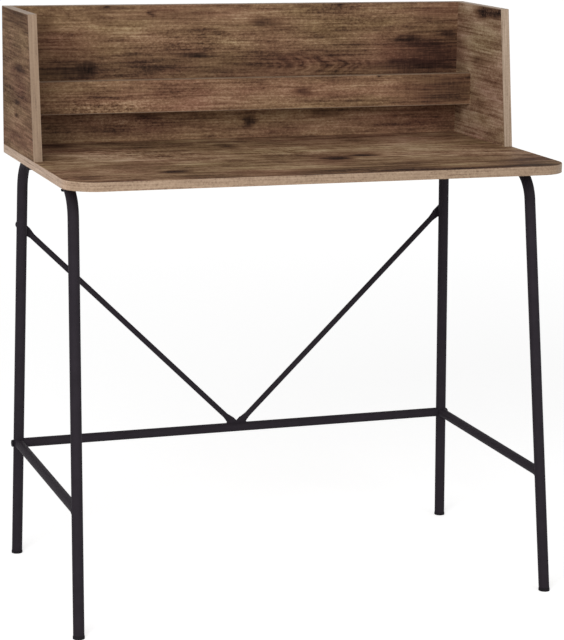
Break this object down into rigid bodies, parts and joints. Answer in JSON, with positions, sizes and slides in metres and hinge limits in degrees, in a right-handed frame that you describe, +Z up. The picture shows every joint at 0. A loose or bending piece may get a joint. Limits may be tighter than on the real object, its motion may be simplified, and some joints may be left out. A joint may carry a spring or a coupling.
{
  "type": "computer desk",
  "caption": "Small computer desk with a low open hutch: plank-print boards on a black bent-tube frame with side stretchers, a rear bar and a V brace.",
  "frame": {"origin": "on the floor, under the middle of the desk's outline", "axes": "+X to the right as seen by a person at the desk, +Y from the front edge to the back panel, +Z up"},
  "size_m": [0.88, 0.4996, 1.006],
  "materials": {
    "plank_laminate": "matt printed laminate with a weathered plank grain",
    "edge_band": "matt pale tan band with a faint grain",
    "black_steel": "satin black powder coat",
    "black_bolt": "satin black",
    "foot_plastic": "matt black moulded plastic",
    "zinc_steel": "bright zinc plating",
    "cam_zinc": "grey die-cast zinc",
    "dowel_wood": "plain pale wood"
  },
  "bodies": {
    "root": {"desktop": "plank_laminate", "left_side_panel": "plank_laminate", "right_side_panel": "plank_laminate", "back_panel": "plank_laminate", "hutch_rail": "plank_laminate", "desktop_edge_band": "edge_band", "left_panel_edge_band": "edge_band", "right_panel_edge_band": "edge_band", "back_panel_edge_band": "edge_band", "hutch_rail_edge_bands": "edge_band", "left_leg_frame": "black_steel", "right_leg_frame": "black_steel", "left_stretcher": "black_steel", "right_stretcher": "black_steel", "rear_cross_bar": "black_steel", "left_brace_rod": "black_steel", "right_brace_rod": "black_steel", "cross_bar_bolts": "black_bolt", "brace_bolts": "black_bolt", "desktop_fixing_bolts": "black_bolt", "front_left_foot": "foot_plastic", "front_right_foot": "foot_plastic", "rear_left_foot": "foot_plastic", "rear_right_foot": "foot_plastic", "cross_bar_end_plugs": "zinc_steel", "brace_inserts": "zinc_steel", "desktop_threaded_inserts": "zinc_steel", "hutch_screws": "zinc_steel", "cam_bolts": "zinc_steel", "cam_locks": "cam_zinc", "hutch_dowels": "dowel_wood"}
  },
  "joints": []
}
